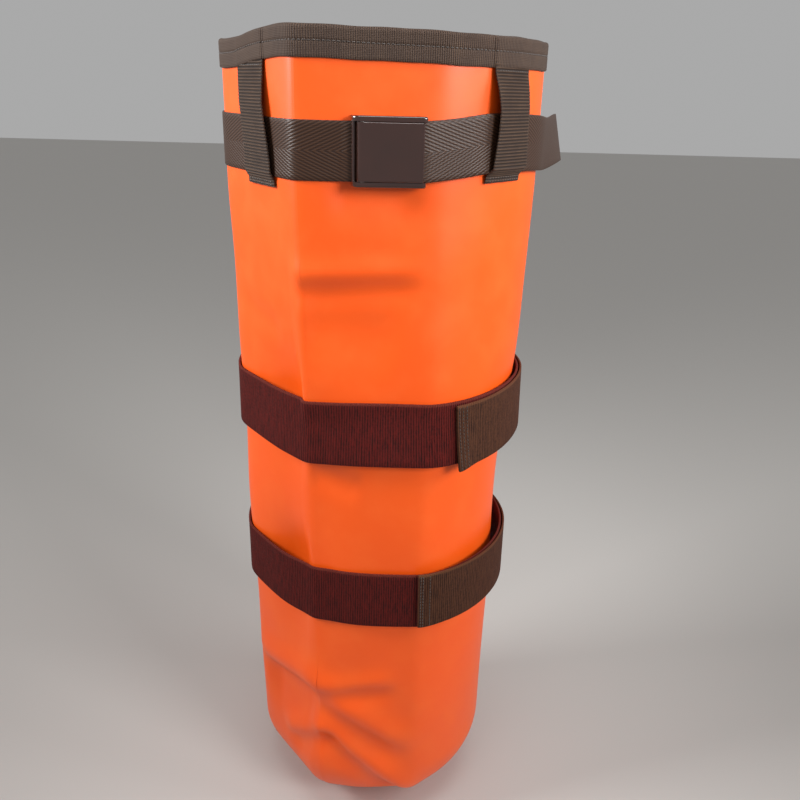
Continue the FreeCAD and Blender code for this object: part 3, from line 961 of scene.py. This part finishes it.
def aroundRim(start, end, offset):
    # plan points about 1 mm apart at an offset from the rim's section
    angle = np.linspace(start, end, int(abs(end - start) * math.radians(rimRadius)))
    shape = rimRadius * sectionShape(angle, rimTurn, rimShare, belt["rounding"])
    return outward(angle) * (shape + offset)[:, None]


def beltLift(plan):
    return smoothCurve(angleOf(plan), belt["lift"])


def bandSurface(plan):
    # upright band along plan points, riding up and down with the belt
    height = belt["low"] + beltLift(plan)[:, None] + np.linspace(0, belt["width"], 15)
    return standing(plan[:, None], height)


def makeBelt():
    # from the folded end over and round the anchor bar, all the way round the rim, and under the lever
    turn = np.radians(np.linspace(-90, 90, 13))
    wrapped = buckle["anchor"] + buckle["anchorWrap"] * pairs(-np.cos(turn), np.sin(turn))
    innerStart = angleOnFront(buckle["innerStart"]) + 1.1
    innerEnd = angleOnFront(buckle["leverSide"]) + 360 - 0.3
    plan = np.concatenate([
        aroundRim(belt["foldedEndAngle"], belt["layersStart"], belt["foldedEnd"]),
        onFront([(33, 3.4), (28, 4.3), (24, 5.6)]),
        onFront(wrapped[::-1]),
        onFront([(24.5, 1.4)]),
        aroundRim(innerStart, innerEnd, belt["centre"]),
        onFront([(-25.5, 2.4), (3.5, 2.4)]),
    ])
    plan = softened(evenly(plan, belt["pointSpacing"]), 2)[::-1]
    piece = slab("beltWebbing", bandSurface(plan), belt["thickness"])
    finishPiece(piece, beltWebbing, "root", "belt_twill", "belt_webbing")


def tailSurface():
    # out from under the lever, over the anchor bar, along the belt, and straight on past the last loop
    leave = belt["leaveAngle"]
    normal, tangent = outward(leave), sideways(leave)
    free = np.linspace(2, belt["freeLength"] - 6, 40)[:, None]
    plan = np.concatenate([
        onFront([(4.6, 2.4), (6.5, 2.5), (13.5, 6.6), (21, 8.0), (28, 6.6)]),
        aroundRim(belt["layersStart"], leave, belt["tail"]),
        normal * (rimRadius + belt["tail"]) + tangent * free,
    ])
    plan = softened(evenly(plan, belt["pointSpacing"]), 4)
    surface = bandSurface(plan)
    travelled = lengthAlong(plan)
    toEnd = travelled[-1] - travelled
    # towards the end the lower edge swings outwards and reaches further, and the whole end lifts
    swing = (1 - smoothStep(toEnd, 0, belt["freeLength"]))[:, None]
    lower = 1 - np.linspace(0, 1, surface.shape[1])
    surface[..., :2] += normal * (swing * (belt["endSwing"] * lower - 1))[..., None]
    surface[..., :2] += tangent * (belt["endReach"] * swing ** 2 * lower)[..., None]
    surface[..., 2] += belt["endLift"] * swing
    return surface


def makeTail():
    piece = slab("beltTail", tailSurface(), belt["thickness"])
    finishPiece(piece, beltWebbing, "root", "belt_twill", "belt_tail")
    # rows of thread that close the belt's folded end, between it and the tail
    plan = aroundRim(belt["layersStart"] + 2, belt["foldedEndAngle"] - 2,
                     belt["foldedEnd"] + belt["thickness"] / 2 + 0.25)
    normals = standing(outward(angleOf(plan)), 0)
    rows = []
    for up in (belt["stitchInset"], belt["width"] - belt["stitchInset"]):
        line = standing(plan, belt["low"] + beltLift(plan) + up)
        rows.append(stitchesAlong(line, normals, 3.0))
    piece = stitchPiece("beltEndStitches", rows, length=2.3, thickness=0.6)
    finishPiece(piece, thread, "root", "thread", "belt_end_stitches")


straps = {
    # lowest height, inner radius, sideways and backward shift, angle of the tab's free end, how far the
    # crease is pressed back, how far the lower edge stands out in front, how far the tab's free end hangs
    # down, and how much its lower corner curls out
    "mid": dict(low=397.5, radius=123.0, shift=(0, -3), freeEnd=31.0, pressed=4.0, tilt=3.4,
                drop=2.5, curl=1.0),
    "lower": dict(low=242.0, radius=119.8, shift=(-1.2, -4), freeEnd=19.5, pressed=8.0, tilt=0.8,
                  drop=-2.0, curl=0.2),
}
# What both straps share; an offset is from the strap's inner face to the middle of a layer.
strapTape = {
    "width": 50,
    "thickness": 2.0,
    "columns": 15,
    "gap": 0.5,  # from the cloth
    "tabOffset": 4.1,
    "tabThickness": 1.8,
    "hingeAngle": 82,
    "overlapEnd": 118,
    "hookOffset": 2.75,
    "hookThickness": 0.9,
    "hookAngle": 34,  # how far past the free end the hook patch reaches
    "hookInset": 2,
    "stitchRows": (1.8, 4.6, 9.0),  # from the tab's free end
}
middleColumn = strapTape["columns"] // 2


def strapSurface(strap, angle, offset, inset=0, drop=0):
    # upright band round the sleeve at an offset from the strap's own inner face
    across = np.linspace(inset, strapTape["width"] - inset, strapTape["columns"])
    angle = angle[:, None]
    shape = strap["radius"] * sectionShape(angle, bodyTurn, bodyShare, 2.6)
    shape = shape - strap["pressed"] * bell(angle, sleeve["crease"], 14)
    tilt = strap["tilt"] * bell(angle, 10, 55) * (1 - 2 * across / strapTape["width"])
    waver = 0.35 * np.sin(np.radians(angle) * 5 + strap["low"])
    plan = outward(angle) * (shape + tilt)[..., None] + np.array(strap["shift"])
    hingeAngle = strapTape["hingeAngle"]
    share = smoothStep(hingeAngle - angle, 0, hingeAngle - strap["freeEnd"])
    height = strap["low"] + across + waver - drop * share
    points = clearOfSleeve(standing(plan, height), strapTape["gap"])
    points[..., :2] += outward(angle) * offset
    return points


def makeStrap(name, strap):
    angle = np.linspace(-180, 180, 401)[:-1]
    surface = strapSurface(strap, angle, strapTape["thickness"] / 2)
    piece = slab(name + "Strap", surface, strapTape["thickness"], closed=True)
    finishPiece(piece, strapElastic, "root", "elastic_plush", name + "_strap")


def makeTab(name, strap):
    # one length of tape: sewn down beyond the hinge line, and free from there to its hemmed end
    freeEnd, hingeAngle, overlapEnd = strap["freeEnd"], strapTape["hingeAngle"], strapTape["overlapEnd"]
    offset, thickness = strapTape["tabOffset"], strapTape["tabThickness"]
    angle = np.linspace(freeEnd, overlapEnd, 110)
    surface = strapSurface(strap, angle, offset, drop=strap["drop"])
    # past the hinge the tape comes down onto the strap
    sewn = smoothStep(angle, hingeAngle + 6, overlapEnd - 6)
    down = sewn * (offset - strapTape["thickness"] - thickness / 2)
    surface[..., :2] -= (outward(angle) * down[:, None])[:, None]
    # the lower corner of the free end curls out and down
    length = lengthAlong(surface[:, middleColumn])
    across = np.linspace(1, 0, surface.shape[1])
    curl = strap["curl"] * bell(length, 0, 13)[:, None] * across ** 2.2
    surface[..., :2] += outward(freeEnd) * (3.2 * curl)[..., None]
    surface[..., 2] -= 2.0 * curl
    # the hem is 10 mm of the tape folded under
    hem = 0.45 * (1 - smoothStep(length, 9.5, 11))
    piece = slab(name + "StrapTab", surface, thickness, relief=hem[:, None])
    piece.data.materials.append(tabElastic)
    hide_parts(name + "_strap_tab")
    # it bends over a few degrees at the hinge line
    body = name + "_tab"
    bend = strapSurface(strap, np.array([hingeAngle - 3.0, hingeAngle + 3.0]), offset)[:, middleColumn] * mm
    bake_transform(piece)
    normals = surfaceNormals(surface)
    rows = []
    for along in strapTape["stitchRows"]:
        row = int(np.argmin(np.abs(length - along)))
        face = surface[row] + normals[row] * (thickness / 2 + 0.62)
        rows.append(stitchesAlong(face, normals[row], 2.9))
    seam = stitchPiece(name + "TabStitches", rows, length=2.3, thickness=0.7)
    finishPiece(seam, thread, body, "thread", name + "_tab_stitches")
    angle = np.linspace(freeEnd + 0.8, freeEnd + strapTape["hookAngle"], 50)
    surface = strapSurface(strap, angle, strapTape["hookOffset"], strapTape["hookInset"], strap["drop"])
    patch = slab(name + "HookPatch", surface, strapTape["hookThickness"])
    finishPiece(patch, hooks, body, "hook_field", name + "_hook_patch")


keeper = {
    "halfWidth": 30,
    "thickness": 1.0,
    "welded": (7, 12, 18),  # distances above and below the strap where the patch lies on the sleeve
    "onSleeve": 0.9,
    "overStrap": 1.3,
    "gap": 0.6,
}


def makeKeeper(name, strap):
    # coated patch over the strap at the back, welded to the sleeve above and below it
    low, high = strap["low"], strap["low"] + strapTape["width"]
    normal, tangent = outward(keeperFacet), sideways(keeperFacet)

    def onSleeve(height):
        return sleevePoint(keeperFacet, height)[:2] @ normal + keeper["onSleeve"], height

    strapFace = strapSurface(strap, np.array([float(keeperFacet)]), strapTape["thickness"])[0, middleColumn]
    over = strapFace[:2] @ normal + keeper["overStrap"]
    profile = [onSleeve(high + up) for up in reversed(keeper["welded"])]
    profile += [(over - 0.8, high + 1.5), (over, high - 2), (over, low + 2), (over - 0.8, low - 1.5)]
    profile += [onSleeve(low - down) for down in keeper["welded"]]
    profile = softened(evenly(profile, 0.8), 6)
    across = np.linspace(-keeper["halfWidth"], keeper["halfWidth"], 21)
    plan = normal * profile[:, :1, None] + tangent * across[:, None]
    surface = clearOfSleeve(standing(plan, profile[:, 1:]), keeper["gap"])
    patch = slab(name + "StrapKeeper", surface, keeper["thickness"])
    finishPiece(patch, orangeCloth, "root", "coated_fabric", name + "_strap_keeper")


print("binding")
makeBinding()
makeRimStitches()
print("loops")
makeLoops()
print("belt")
makeBelt()
makeTail()
print("straps")
for name, strap in straps.items():
    makeStrap(name, strap)
    makeTab(name, strap)
    makeKeeper(name, strap)

print("buckle")
for node, material, slotName in (
    ("buckle_frame", acetal, "buckle_black"),
    ("buckle_lever", acetal, "buckle_black"),
    ("buckle_hinge_pin", steel, "pin_steel"),
    ("buckle_anchor_bar", steel, "pin_steel"),
):
    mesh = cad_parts[node].data
    mesh.materials.clear()
    mesh.materials.append(material)


def makeFloor():
    # matt warm grey, so that the orange stands out and its shadow stays soft
    material, _, _ = startMaterial("paleFloor", Base_Color=linearColour("#C6C3BF"), Roughness=0.9)
    bpy.ops.mesh.primitive_plane_add(size=12, location=(0, 3, -0.0005))
    floor = bpy.context.object
    floor.name = "floor"
    floor.data.materials.append(material)


def softbox(name, place, target, size, power, spread=180):
    light = bpy.data.lights.new(name, "AREA")
    light.shape = "RECTANGLE"
    light.size, light.size_y = size
    light.spread = math.radians(spread)
    light.energy = power
    lamp = addObject(name, light)
    lamp.location = place
    aim = Vector(target) - Vector(place)
    lamp.rotation_euler = aim.to_track_quat("-Z", "Y").to_euler()


def makeCamera():
    camera = bpy.data.cameras.new("camera")
    camera.sensor_width = 36
    camera.lens = 35.1
    view = addObject("camera", camera)
    # looks down by 21.9 degrees and leans over by 1.5
    down = Matrix.Rotation(math.radians(90 - 21.89), 3, "X")
    view.rotation_euler = (down @ Matrix.Rotation(0.026, 3, "Z")).to_euler()
    view.location = (0.0197, -0.6714, 0.675)
    bpy.context.scene.camera = view


def makeWorld():
    world = bpy.data.worlds.new("studio")
    bpy.context.scene.world = world
    world.use_nodes = True
    background = world.node_tree.nodes["Background"]
    background.inputs["Color"].default_value = linearColour("#FFFFFF")
    background.inputs["Strength"].default_value = 0.4


print("stage")
makeFloor()
makeWorld()
softbox("keyLeft", (-1.0, -0.25, 1.05), (0, 0, 0.66), (0.45, 0.5), 3.4, spread=70)
softbox("fillRight", (1.0, -0.2, 1.05), (0, 0, 0.66), (0.45, 0.5), 1.6, spread=80)
softbox("frontRight", (0.95, -0.9, 1.0), (0, 0, 0.66), (0.45, 0.45), 2.6, spread=70)
softbox("overhead", (0.1, -0.5, 1.9), (0, 0, 0.6), (0.9, 0.5), 8)
makeCamera()
bpy.context.scene.view_settings.view_transform = "Standard"
